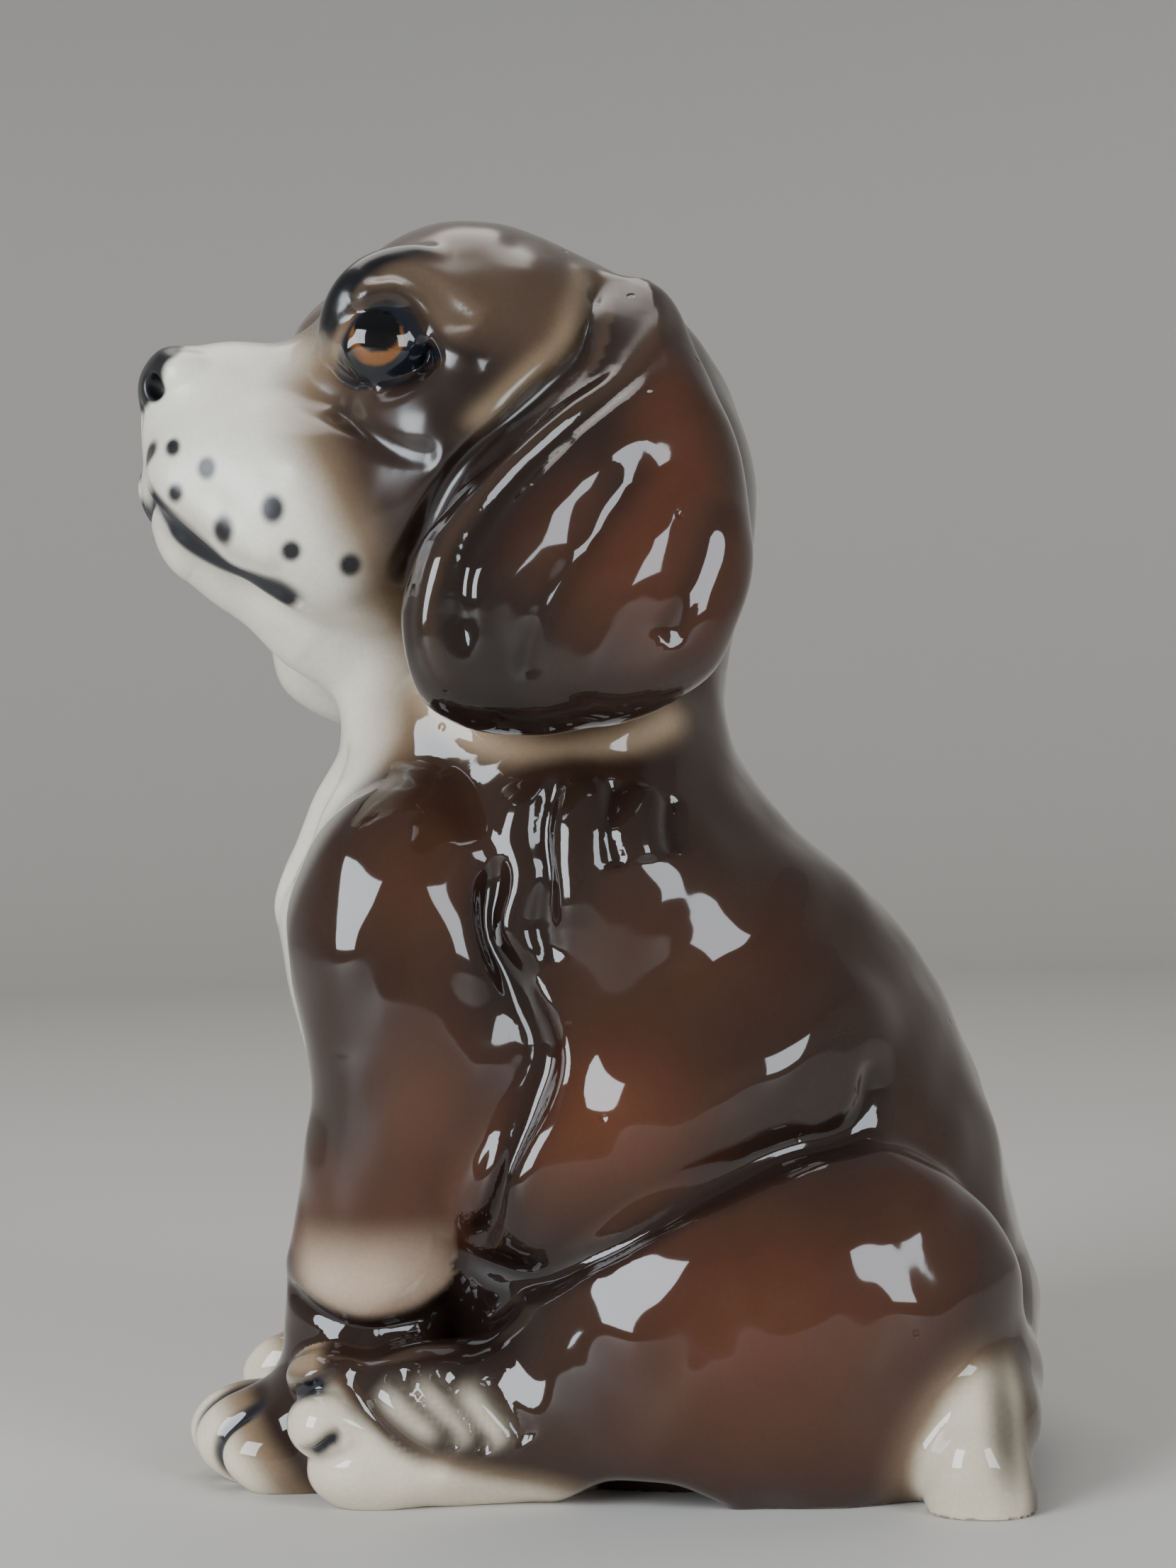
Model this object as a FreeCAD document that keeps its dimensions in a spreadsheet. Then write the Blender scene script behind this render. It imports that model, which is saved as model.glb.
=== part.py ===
"""Sitting ceramic puppy, slip-cast in hollow pieces that are luted together.

Frame: +Z up, the puppy faces -Y and its left side is +X. The origin is the centre of the bottom of
the figurine's box. Lengths are millimetres.

The torso, the head and the forelegs are lofts through elliptical sections, and the thighs are
ellipsoids. The same form, smaller by the wall, is each one's hollow. The ears, the paws, the feet and
the tail are solid. Pieces meet face to face where one is seated on another.
"""
import FreeCAD, Part
import math
import os

doc = FreeCAD.newDocument("ceramic_puppy")
sizes = doc.addObject("Spreadsheet::Sheet", "Sizes")

# Driving dimensions. The sections below are drawn for a figure of drawn_height, and every length
# follows figure_height; half-widths also follow the width of their own piece.
DRIVING = [
    ("figure_height", 210.0),
    ("drawn_height", 210.0),
    ("torso_half_width", 45.0),
    ("head_half_width", 38.0),
    ("ear_half_thickness", 9.0),
    ("foreleg_half_width", 14.0),
    ("haunch_half_width", 24.0),
    ("wall", 5.0),
    ("leg_wall", 4.0),
    ("base_vent_radius", 9.0),
    ("base_vent_centre", 22.0),
    ("neck_vent_radius", 12.0),
    ("haunch_vent_radius", 4.0),
    ("head_turn_degrees", 13.0),
    ("foreleg_spacing", 32.0),
    ("right_paw_set_back", 4.0),
    ("right_paw_spread", 8.0),
    ("hind_foot_spacing", 45.0),
]
for row, (alias, value) in enumerate(DRIVING, start=1):
    sizes.set(f"A{row}", alias)
    sizes.set(f"B{row}", str(value))
    sizes.setAlias(f"B{row}", alias)
doc.recompute()

SCALE = "Sizes.figure_height / Sizes.drawn_height"

# Sections as (height, centre, half length, half width). The half width is a share of the widest.
TORSO = [
    (0, 24, 49, 0.84),
    (5, 23, 50.5, 0.92),
    (20, 20, 53.5, 0.98),
    (38, 16, 56, 1.00),
    (55, 11, 57, 1.00),
    (72, 6, 56, 0.97),
    (90, -1.5, 52.5, 0.93),
    (105, -7.5, 42, 0.86),
    (120, -8.5, 34, 0.74),
    (134, -7, 29, 0.66),
]
# Sections from the nose back, as (station, centre height, half height, half width share).
HEAD = [
    (-75, 168, 9, 0.28),
    (-71, 168, 16, 0.42),
    (-62, 166, 22, 0.56),
    (-52, 162, 26, 0.66),
    (-40, 165, 37, 0.82),
    (-25, 166.5, 43, 0.95),
    (-10, 165.5, 44, 1.00),
    (5, 163, 41, 0.97),
    (18, 161, 32, 0.82),
    (26, 160, 21, 0.58),
    (30, 160, 9, 0.24),
]
HEAD_PIVOT = 5
NECK_VENT = {"centre": -10, "bottom": 112}
RIGHT_EAR_FORWARD = 10
# Ear sections: (height, side offset, centre, half length, half thickness share).
EAR = [
    (121, 39, -19, 10, 0.30),
    (125, 40, -18, 17, 0.62),
    (132, 41, -14, 24, 0.92),
    (142, 41, -12, 26, 1.00),
    (151, 41, -9, 24, 1.00),
    (160, 39, -4, 18, 0.95),
    (170, 36, 0, 14, 0.85),
    (181, 31, 2, 9, 0.60),
    (190, 25, 3, 4, 0.30),
]
# Foreleg sections: (height, side share of the spacing, centre, half length, half width share).
FORELEG = [
    (3, 0.80, -38.5, 12.5, 0.85),
    (14, 0.80, -38.5, 12.5, 0.88),
    (26, 0.82, -38, 13.5, 0.88),
    (38, 0.88, -35.5, 15, 0.92),
    (55, 0.98, -30.5, 17, 1.00),
    (75, 1.00, -28, 18.5, 1.06),
    (92, 0.97, -29, 17.5, 1.00),
    (106, 0.85, -27, 14, 0.80),
    (116, 0.66, -24, 8, 0.50),
]
FORELEG_TOP = 116
PAW = {"side_share": 0.68, "centre": -51.5, "half_length": 16, "half_width": 15, "height": 15.5}
THIGH = {"side": 37, "centre": 27, "lift": 26, "half_length": 42, "half_height": 33}
# Hind foot sections from the toes back: (station, side share, centre height, half height, half width).
HIND_FOOT = [
    (-50.5, 0.88, 14.5, 8, 6),
    (-46, 0.91, 13, 12, 9.5),
    (-36, 0.93, 12, 13, 11.5),
    (-20, 0.95, 12, 13, 12),
    (-4, 0.92, 12, 12, 11),
    (12, 0.84, 13, 10, 9),
    (26, 0.75, 14, 6, 6),
]
# Tail, curled round the rump: (side, centre, height, half height, half width).
TAIL = [
    (4, 66, 25, 6, 5),
    (20, 67.5, 20.5, 9, 7),
    (37, 67, 15.5, 9.5, 7.5),
    (51, 61.5, 11, 10, 8),
    (58, 56, 9, 8, 7),
]
# Corner of the block that keeps the tail out of the crease between torso and left haunch.
CREASE = {"side": 47.5, "length": 64.5, "height": 60}


def scaled(value, share_of=None, less=None):
    """Expression for a drawn length, or for a share of a driving width, less a wall."""
    text = f"{value} * Sizes.{share_of}" if share_of else f"{value}"
    text = f"({text}) * {SCALE}"
    return f"{text} - Sizes.{less}" if less else text


def bind(item, **expressions):
    """Bind properties to the sheet; an underscore in a key stands for a dot."""
    for key, expression in expressions.items():
        item.setExpression(key.replace("_", "."), expression)


def value_of(expression):
    """The number that an expression gives with the sheet's present values."""
    text = expression
    for alias, _ in sorted(DRIVING, key=lambda pair: -len(pair[0])):
        text = text.replace(f"Sizes.{alias}", str(sizes.get(alias)))
    return float(FreeCAD.Units.Quantity(text).Value)


def ellipse(name, x, y, z, across, along, plane):
    """An elliptical section in the XY or the XZ plane; its five sizes are expressions."""
    item = doc.addObject("Part::Ellipse", name)
    tall = value_of(along) >= value_of(across)
    bind(item, MajorRadius=along if tall else across, MinorRadius=across if tall else along)
    if plane == "XY":
        turn = FreeCAD.Rotation(FreeCAD.Vector(0, 0, 1), 90 if tall else 0)
    else:
        upright = FreeCAD.Rotation(FreeCAD.Vector(1, 0, 0), 90)
        spin = FreeCAD.Rotation(FreeCAD.Vector(0, 0, 1), 90 if tall else 0)
        turn = upright.multiply(spin)
    item.Placement = FreeCAD.Placement(FreeCAD.Vector(), turn)
    bind(item, Placement_Base_x=x, Placement_Base_y=y, Placement_Base_z=z)
    return item


def loft(name, sections):
    item = doc.addObject("Part::Loft", name)
    item.Sections = sections
    item.Solid = True
    item.Ruled = False
    return item


def cut(name, base, tool):
    item = doc.addObject("Part::Cut", name)
    item.Base = base
    item.Tool = tool
    return item


def fuse(name, *shapes):
    item = doc.addObject("Part::MultiFuse", name)
    item.Shapes = list(shapes)
    return item


def cut_all(name, base, *tools):
    """Cut several tools from one solid, in order."""
    for number, tool in enumerate(tools[:-1], start=1):
        base = cut(f"{name}_step_{number}", base, tool)
    return cut(name, base, tools[-1])


def cylinder(name, radius, height, x, y, z):
    item = doc.addObject("Part::Cylinder", name)
    bind(item, Radius=radius, Height=height)
    bind(item, Placement_Base_x=x, Placement_Base_y=y, Placement_Base_z=z)
    return item


def ellipsoid(name, x, y, z, half_x, half_y, half_z):
    item = doc.addObject("Part::Ellipsoid", name)
    bind(item, Radius1=half_z, Radius2=half_x, Radius3=half_y)
    bind(item, Placement_Base_x=x, Placement_Base_y=y, Placement_Base_z=z)
    return item


def torso_solid(name, wall=None):
    """The torso's form, or its hollow, which starts above the base and is open at the neck."""
    rows = TORSO[1:] if wall else TORSO
    return loft(name, [
        ellipse(f"{name}_section_{n}", "0", scaled(y), scaled(z),
                scaled(width, "torso_half_width", wall), scaled(length, None, wall), "XY")
        for n, (z, y, length, width) in enumerate(rows, start=1)])


def turned_place(x, y):
    """Side and length expressions of a point of the head once the head is turned on the neck."""
    turn = "(Sizes.head_turn_degrees * 1 deg)"
    ahead = scaled(HEAD_PIVOT - y)
    return (f"{scaled(x)} * cos{turn} + {ahead} * sin{turn}",
            f"{scaled(HEAD_PIVOT)} + {scaled(x)} * sin{turn} - {ahead} * cos{turn}")


def turn_section(section, degrees):
    """Turn a section about the vertical through its centre."""
    about_z = FreeCAD.Rotation(FreeCAD.Vector(0, 0, 1), degrees)
    section.Placement.Rotation = about_z.multiply(section.Placement.Rotation)
    return section


def head_section(name, x, y, z, across, along, plane):
    """A section of the head or of an ear, which turns with the head."""
    side, length = turned_place(x, y)
    section = ellipse(name, side, length, scaled(z), across, along, plane)
    return turn_section(section, sizes.get("head_turn_degrees"))


def head_solid(name, wall=None):
    """The head's form, or its hollow, which stops short of the nose and the nape."""
    rows = HEAD[1:-2] if wall else HEAD
    return loft(name, [
        head_section(f"{name}_section_{n}", 0, y, z, scaled(width, "head_half_width", wall),
                     scaled(height, None, wall), "XZ")
        for n, (y, z, height, width) in enumerate(rows, start=1)])


def ear_solid(name, side, forward):
    """An ear's form, which hangs further forward by the given amount."""
    return loft(name, [
        head_section(f"{name}_section_{n}", side * x, y - forward, z,
                     scaled(thick, "ear_half_thickness"), scaled(length), "XY")
        for n, (z, x, y, length, thick) in enumerate(EAR, start=1)])


def foreleg_place(side, share, y, z):
    """Side and length expressions of a foreleg section; the right leg slants out and back."""
    out, back = scaled(side * share, "foreleg_spacing"), scaled(y)
    if side < 0:
        down = round(1 - z / FORELEG_TOP, 4)
        out += f" - {down} * Sizes.right_paw_spread * {SCALE}"
        back += f" + {down} * Sizes.right_paw_set_back * {SCALE}"
    return out, back


def foreleg_solid(name, side, wall=None):
    """A foreleg's form, or its hollow, which stops above the paw."""
    rows = FORELEG[2:] if wall else FORELEG
    return loft(name, [
        ellipse(f"{name}_section_{n}", *foreleg_place(side, share, y, z), scaled(z),
                scaled(width, "foreleg_half_width", wall), scaled(length, None, wall), "XY")
        for n, (z, share, y, length, width) in enumerate(rows, start=1)])


def everything_below(name, level):
    """A slab that fills all the space under a level."""
    item = doc.addObject("Part::Box", name)
    reach = "1.5 * Sizes.figure_height"
    bind(item, Length=reach, Width=reach, Height="0.25 * Sizes.figure_height")
    bind(item, Placement_Base_x="-0.75 * Sizes.figure_height",
         Placement_Base_y="-0.75 * Sizes.figure_height",
         Placement_Base_z=f"{level} - 0.25 * Sizes.figure_height")
    return item


GROUND = everything_below("below_ground", "0")
FLOOR = everything_below("below_leg_floor", "Sizes.wall")
TORSO_FORM = torso_solid("torso_form")
HEAD_FORM = head_solid("head_form")


def make_body_shell():
    """Hollow torso, saddled for the head, vented through its base and into both haunches."""
    hollow = torso_solid("torso_hollow", "wall")
    vent = cylinder("base_vent", "Sizes.base_vent_radius", "3 * Sizes.wall",
                    "0", "Sizes.base_vent_centre", "-Sizes.wall")
    across = cylinder("haunch_vents", "Sizes.haunch_vent_radius", scaled(100),
                      scaled(-50), scaled(THIGH["centre"]), scaled(THIGH["lift"]))
    across.Placement.Rotation = FreeCAD.Rotation(FreeCAD.Vector(0, 1, 0), 90)
    return cut_all("body_shell", TORSO_FORM, hollow, vent, across, HEAD_FORM)


def make_head_shell():
    """Hollow head, open to the torso through the neck vent."""
    hollow = head_solid("head_hollow", "wall")
    vent = cylinder("neck_vent", "Sizes.neck_vent_radius", "8 * Sizes.wall",
                    "0", scaled(NECK_VENT["centre"]), scaled(NECK_VENT["bottom"]))
    return cut_all("head_shell", HEAD_FORM, hollow, vent)


def make_ear(name, side, forward):
    """Drooping ear, seated on the cheek and clear of the shoulder."""
    flap = ear_solid(f"{name}_flap", side, forward)
    return cut_all(name, flap, HEAD_FORM, TORSO_FORM)


def make_foreleg(name, side):
    """Hollow upper leg on a solid paw, seated on the chest."""
    leg = foreleg_solid(f"{name}_leg", side)
    across, along = foreleg_place(side, PAW["side_share"], PAW["centre"], 0)
    paw = ellipsoid(f"{name}_paw", across, along, "0",
                    scaled(PAW["half_width"]), scaled(PAW["half_length"]), scaled(PAW["height"]))
    hollow = foreleg_solid(f"{name}_hollow", side, "leg_wall")
    whole = fuse(f"{name}_whole", leg, paw)
    return cut_all(name, whole, GROUND, hollow, TORSO_FORM)


def thigh_solid(name, side, wall=None):
    """The folded thigh's form, or its hollow."""
    halves = [scaled(1, "haunch_half_width", wall), scaled(THIGH["half_length"], None, wall),
              scaled(THIGH["half_height"], None, wall)]
    return ellipsoid(name, scaled(side * THIGH["side"]), scaled(THIGH["centre"]),
                     scaled(THIGH["lift"]), *halves)


def make_hind_leg(name, side, foreleg):
    """Hollow folded thigh with its long solid foot, seated on the torso and against the foreleg."""
    thigh = thigh_solid(f"{name}_thigh", side)
    foot = loft(f"{name}_foot", [
        ellipse(f"{name}_foot_section_{n}", scaled(side * share, "hind_foot_spacing"),
                scaled(y), scaled(z), scaled(width), scaled(height), "XZ")
        for n, (y, share, z, height, width) in enumerate(HIND_FOOT, start=1)])
    hollow = cut(f"{name}_hollow", thigh_solid(f"{name}_core", side, "wall"), FLOOR)
    whole = fuse(f"{name}_whole", thigh, foot)
    return cut_all(name, whole, GROUND, TORSO_FORM, foreleg, hollow)


def make_tail(left_thigh):
    """Tapered tail lofted round the rump, resting on the ground and clear of the haunch's crease."""
    sections = []
    for n, (x, y, z, height, width) in enumerate(TAIL, start=1):
        before = TAIL[max(n - 2, 0)]
        after = TAIL[min(n, len(TAIL) - 1)]
        heading = math.degrees(math.atan2(after[1] - before[1], after[0] - before[0]))
        section = ellipse(f"tail_section_{n}", scaled(x), scaled(y), scaled(z),
                          scaled(width), scaled(height), "XZ")
        sections.append(turn_section(section, heading - 90))
    form = loft("tail_form", sections)
    crease = doc.addObject("Part::Box", "crease_beside_tail")
    bind(crease, Length=scaled(CREASE["side"]), Width=scaled(CREASE["length"]),
         Height=scaled(CREASE["height"]))
    return cut_all("tail", form, GROUND, TORSO_FORM, left_thigh, crease)


def build():
    parts = [make_body_shell(), make_head_shell()]
    parts.append(make_ear("ear_left", 1, 0))
    parts.append(make_ear("ear_right", -1, RIGHT_EAR_FORWARD))
    fore_left = make_foreleg("foreleg_left", 1)
    fore_right = make_foreleg("foreleg_right", -1)
    hind_left = make_hind_leg("hind_leg_left", 1, fore_left)
    hind_right = make_hind_leg("hind_leg_right", -1, fore_right)
    parts += [fore_left, fore_right, hind_left, hind_right, make_tail(hind_left)]
    for part in parts:
        part.Label = part.Name
    return parts


def check(parts):
    """Stop if any object failed or any sub-part has no valid solid."""
    for item in doc.Objects:
        if {"Invalid", "Error"} & set(item.State):
            raise RuntimeError(f"{item.Name} failed: {item.State}")
    for part in parts:
        shape = part.Shape
        if shape.isNull() or not shape.isValid() or shape.Volume <= 0:
            raise RuntimeError(f"{part.Label} has no valid solid")


def centre_on_origin(parts):
    """Shift every part by the same amount, so that the origin is the box's bottom centre."""
    box = FreeCAD.BoundBox()
    for part in parts:
        box.add(part.Shape.optimalBoundingBox(False))
    shift = FreeCAD.Vector(-box.Center.x, -box.Center.y, -box.ZMin)
    for part in parts:
        part.Placement.Base = part.Placement.Base + shift
    return box, shift


doc.recompute()
PARTS = build()
doc.recompute()
check(PARTS)
figure_box, figure_shift = centre_on_origin(PARTS)
print("box", [round(v, 1) for v in (figure_box.XLength, figure_box.YLength, figure_box.ZLength)])
print("shift", [round(v, 2) for v in figure_shift])
os.makedirs("parts", exist_ok=True)
for part in PARTS:
    print(part.Label, round(part.Shape.Volume), len(part.Shape.Solids))
    part.Shape.exportStep(f"parts/{part.Label}.step")
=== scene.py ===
import math
from collections import Counter

import bpy
import numpy as np
from mathutils import Matrix, Vector


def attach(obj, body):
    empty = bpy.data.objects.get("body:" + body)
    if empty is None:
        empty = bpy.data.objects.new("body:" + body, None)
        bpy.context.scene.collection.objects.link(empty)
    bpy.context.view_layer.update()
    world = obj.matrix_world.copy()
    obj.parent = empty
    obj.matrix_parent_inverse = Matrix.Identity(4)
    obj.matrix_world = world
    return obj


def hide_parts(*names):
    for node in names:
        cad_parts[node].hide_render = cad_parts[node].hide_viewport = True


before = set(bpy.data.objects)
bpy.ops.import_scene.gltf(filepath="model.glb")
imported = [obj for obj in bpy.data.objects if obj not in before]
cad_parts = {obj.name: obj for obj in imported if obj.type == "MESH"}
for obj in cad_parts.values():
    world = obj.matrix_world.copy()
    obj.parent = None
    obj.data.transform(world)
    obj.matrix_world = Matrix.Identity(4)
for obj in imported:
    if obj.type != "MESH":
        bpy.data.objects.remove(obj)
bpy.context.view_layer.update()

MM = 0.001
DRAWN_CENTRE = (0.66, -0.13)  # the drawn figure's middle, which the frame puts at its origin
GRID_STEP = 0.9
COARSE = 4                    # fine steps in one step of the search grid
HEAD_TURN = math.radians(13)
HEAD_PIVOT_Y = 5.0
VENT_CENTRE_Y, VENT_RADIUS, VENT_DEPTH = 22.0, 9.0, 10.0
FAR = 40.0                    # distance given to points far outside a group


# ------------------------ field tools
def vec(*values):
    return np.array(values, dtype=np.float32)


def turn_x(degrees):
    """Matrix for a turn about X; positive lifts +Y towards +Z."""
    c, s = math.cos(math.radians(degrees)), math.sin(math.radians(degrees))
    return np.array([[1, 0, 0], [0, c, -s], [0, s, c]], dtype=np.float32)


def ellipsoid(p, centre, radii, turn=None):
    q = p - vec(*centre)
    if turn is not None:
        q = q @ turn
    r = vec(*radii)
    k0 = np.sqrt(((q / r) ** 2).sum(1))
    k1 = np.sqrt(((q / (r * r)) ** 2).sum(1))
    return k0 * (k0 - 1.0) / np.maximum(k1, 1e-6)


def limb(p, a, b, ra, rb):
    """A round bar from a to b whose radius goes from ra to rb."""
    a, b = vec(*a), vec(*b)
    ab = b - a
    q = p - a
    along = np.clip(q @ ab / (ab @ ab), 0, 1)
    return np.sqrt(((q - along[:, None] * ab) ** 2).sum(1)) - (ra + (rb - ra) * along)


def join(a, b, soft):
    """Smooth union."""
    h = np.maximum(soft - np.abs(a - b), 0) / soft
    return np.minimum(a, b) - h * h * soft * 0.25


def carve(a, b, soft):
    """Smooth removal of b from a."""
    return -join(-a, b, soft)


def ramp(value, low, high):
    """Smooth step from 0 at low to 1 at high; low may be above high."""
    k = np.clip((value - low) / (high - low), 0, 1)
    return k * k * (3 - 2 * k)


def profile(at, points):
    """Smooth curve through (station, value) points, read at the stations given."""
    xs = np.array([x for x, _ in points], dtype=np.float64)
    ys = np.array([y for _, y in points], dtype=np.float64)
    slope = np.gradient(ys, xs)
    k = np.clip(np.searchsorted(xs, at) - 1, 0, len(xs) - 2)
    h = xs[k + 1] - xs[k]
    u = np.clip((at - xs[k]) / h, 0, 1)
    return ((2 * u**3 - 3 * u**2 + 1) * ys[k] + (u**3 - 2 * u**2 + u) * h * slope[k]
            + (-2 * u**3 + 3 * u**2) * ys[k + 1] + (u**3 - u**2) * h * slope[k + 1]).astype(np.float32)


def smooth_line(points, per_span=6, closed=False):
    """Catmull-Rom curve through the points."""
    pts = np.array(points, dtype=np.float64)
    if closed:
        pts = np.vstack([pts[-1], pts, pts[0], pts[1]])
    else:
        pts = np.vstack([2 * pts[0] - pts[1], pts, 2 * pts[-1] - pts[-2]])
    out = []
    for k in range(1, len(pts) - 2):
        p0, p1, p2, p3 = pts[k - 1:k + 3]
        for u in np.arange(per_span) / per_span:
            out.append(0.5 * (2 * p1 + (p2 - p0) * u + (2 * p0 - 5 * p1 + 4 * p2 - p3) * u**2
                              + (3 * p1 - p0 - 3 * p2 + p3) * u**3))
    if not closed:
        out.append(pts[-2])
    return np.array(out, dtype=np.float32)


def line_distance(p, line, reach):
    """Distance to a polyline and place along it (0 to 1), for points nearer than reach."""
    near = np.all((p > line.min(0) - reach) & (p < line.max(0) + reach), axis=1)
    q = p[near]
    best = np.full(len(q), FAR, dtype=np.float32)
    place = np.zeros(len(q), dtype=np.float32)
    spans = len(line) - 1
    for k in range(spans):
        a, ab = line[k], line[k + 1] - line[k]
        u = np.clip((q - a) @ ab / max(float(ab @ ab), 1e-9), 0, 1)
        gap = np.sqrt(((q - a - u[:, None] * ab) ** 2).sum(1))
        closer = gap < best
        best[closer] = gap[closer]
        place[closer] = (k + u[closer]) / spans
    return near, best, place


def furrow(d, p, line, width, depth, ends=0.15):
    """Presses a line into the surface; a negative depth raises a ridge. It fades at its ends."""
    near, gap, place = line_distance(p, line, 3 * width)
    fade = ramp(place, -0.02, ends) * ramp(place, 1.02, 1 - ends)
    d[near] += depth * np.exp(-(gap / width) ** 2) * fade
    return d


def outline_distance(y, z, outline):
    """Signed distance to a closed outline in the side view; negative inside."""
    best = np.full(y.shape, 1e9, dtype=np.float32)
    inside = np.zeros(y.shape, dtype=bool)
    count = len(outline)
    for k in range(count):
        ay, az = outline[k]
        by, bz = outline[(k + 1) % count]
        ey, ez = by - ay, bz - az
        wy, wz = y - ay, z - az
        u = np.clip((wy * ey + wz * ez) / (ey * ey + ez * ez + 1e-9), 0, 1)
        best = np.minimum(best, (wy - u * ey) ** 2 + (wz - u * ez) ** 2)
        if az != bz:
            crosses = (az > z) != (bz > z)
            inside ^= crosses & (y < ey * (z - az) / ez + ay)
    return np.where(inside, -np.sqrt(best), np.sqrt(best))


# ------------------------ sculpt: torso
TORSO_BACK = [(-6, 73.5), (7, 73.5), (23, 73.5), (38, 72), (55, 68), (71, 62.3), (84, 55.5), (95, 46.5),
              (105, 35), (113, 28.8), (123, 24.2), (131, 22.3), (145, 21)]
TORSO_FRONT = [(-6, -22), (3, -25), (19, -31), (38, -40), (55, -46), (71, -50), (82, -52.5),
               (91, -54), (98, -52.8), (105, -49.6), (113, -46), (119, -42.8), (131, -36), (145, -30)]
TORSO_WIDTH = [(-6, 40), (3, 42), (19, 45), (35, 46), (53, 45), (70, 43.5), (83, 42), (95, 39),
               (105, 36), (113, 33.5), (123, 31), (131, 29), (145, 28)]
TORSO_TOP = 148


def lofted(p, front, back, half_width, power=2.2):
    """Stack of level oval sections between a front and a back outline."""
    z = p[:, 2]
    low, high, wide = profile(z, front), profile(z, back), profile(z, half_width)
    length = np.maximum((high - low) / 2, 1)
    across = np.abs(p[:, 0]) / wide
    along = np.abs(p[:, 1] - (high + low) / 2) / length
    q = (across**power + along**power) ** (1 / power)
    return (q - 1) * np.minimum(wide, length)


def mirrored(p):
    """The points of both halves, put on the left side."""
    return np.column_stack([np.abs(p[:, 0]), p[:, 1:]])


def torso_field(p):
    d = lofted(p, TORSO_FRONT, TORSO_BACK, TORSO_WIDTH)
    d = np.maximum(d, p[:, 2] - TORSO_TOP)
    q = mirrored(p)
    flank = ellipsoid(q, (26, 13, 61), (25, 36, 16), turn_x(24))
    belly = ellipsoid(q, (27, -7, 50), (21, 17, 15))
    shoulder_blade = ellipsoid(q, (22, 2, 98), (20, 22, 18), turn_x(-25))
    d = join(d, flank, 9)
    d = join(d, belly, 8)
    return join(d, shoulder_blade, 10)


# ------------------------ sculpt: legs
LEG_FRONT = [(0, -51), (14, -51), (28, -51.5), (38, -50.1), (46, -48.8), (55, -47.2), (63, -46),
             (71, -45.8), (82, -46.9), (95, -46.4), (106, -41), (116, -31)]
LEG_BACK = [(0, -26), (14, -26), (27, -24.5), (32, -22.5), (38, -20.8), (46, -17.8), (55, -13.7),
            (63, -10), (71, -9), (82, -12), (95, -14.2), (104, -15.3), (116, -18)]
LEG_SIDE = [(0, 25), (14, 25.5), (28, 26.5), (40, 28.5), (56, 31), (72, 32), (90, 31), (106, 27), (116, 22)]
LEG_WIDTH = [(0, 11), (14, 11.5), (28, 12), (40, 12.5), (56, 14), (72, 15), (90, 15), (106, 12), (116, 7)]
LEG_TOP = 116.0
FORE_TOES = [((31.5, -52, 5.5), (6.4, 9.5, 6.6)), ((25, -56.2, 6.8), (6.3, 10.4, 8.0)),
             ((17.8, -57.5, 6.8), (6.2, 11.2, 8.0)), ((11.5, -52, 5.8), (5.4, 9.5, 6.8))]
RIGHT_PAW_SPREAD = 8.0
RIGHT_PAW_SET_BACK = 4.0


def leg_space(p, side):
    """Mirrors a point to the left side and takes out the slant of the right foreleg."""
    down = np.clip(1 - p[:, 2] / LEG_TOP, 0, 1) * (side < 0)
    return np.column_stack([p[:, 0] * side - RIGHT_PAW_SPREAD * down,
                            p[:, 1] - RIGHT_PAW_SET_BACK * down, p[:, 2]]).astype(np.float32)


def toe_row(q, toes, soft):
    """Toes side by side, with a fold between each two."""
    row = ellipsoid(q, *toes[0])
    for toe in toes[1:]:
        row = join(row, ellipsoid(q, *toe), soft)
    return row


def foreleg_field(p, side):
    q = leg_space(p, side)
    centred = q.copy()
    centred[:, 0] -= profile(q[:, 2], LEG_SIDE)
    d = lofted(centred, LEG_FRONT, LEG_BACK, LEG_WIDTH, 2.1)
    d = np.maximum(d, q[:, 2] - LEG_TOP + 2)
    shoulder = ellipsoid(q, (29, -30, 88), (15, 17, 24), turn_x(8))
    d = join(d, shoulder, 8)
    instep = ellipsoid(q, (23.5, -45, 8.5), (12.5, 14, 10.5))
    d = join(d, instep, 7)
    return join(d, toe_row(q, FORE_TOES, 1.0), 3)


THIGH_TILT = turn_x(12)
HIND_TOES = [((38.5, -43.5, 19.7), (7.5, 6.6, 4.6)), ((43.5, -42.8, 13.2), (7.5, 7.2, 6.0)),
             ((42.5, -36.5, 5.6), (8.0, 10.5, 7.0)), ((32, -40, 9), (8, 9, 9))]


def hind_leg_field(p, side):
    q = p * vec(side, 1, 1)
    d = ellipsoid(q, (37, 26, 25), (24, 42, 31), THIGH_TILT)
    hock = ellipsoid(q, (38, 40, 9), (16, 25, 13))
    d = join(d, hock, 8)
    foot = ellipsoid(q, (40, -24, 12), (12, 23, 13.5))
    heel = ellipsoid(q, (39, -2, 10), (11.5, 18, 9.5))
    foot = join(foot, heel, 8)
    foot = join(foot, toe_row(q, HIND_TOES, 1.2), 2.6)
    d = join(d, foot, 7)
    arch = ellipsoid(q, (46, 7, -2), (15, 13, 6.5))
    return carve(d, arch, 3)


# ------------------------ sculpt: tail
def tail_field(p):
    d = limb(p, (8, 66, 24), (32, 62.5, 17), 7.5, 8)
    d = join(d, limb(p, (32, 62.5, 17), (49, 60, 12), 8, 7.5), 4)
    d = join(d, limb(p, (49, 60, 12), (56, 57, 8), 7.5, 6), 4)
    return join(d, ellipsoid(p, (55.5, 58, 1.5), (7, 8.5, 8)), 5)


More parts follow.
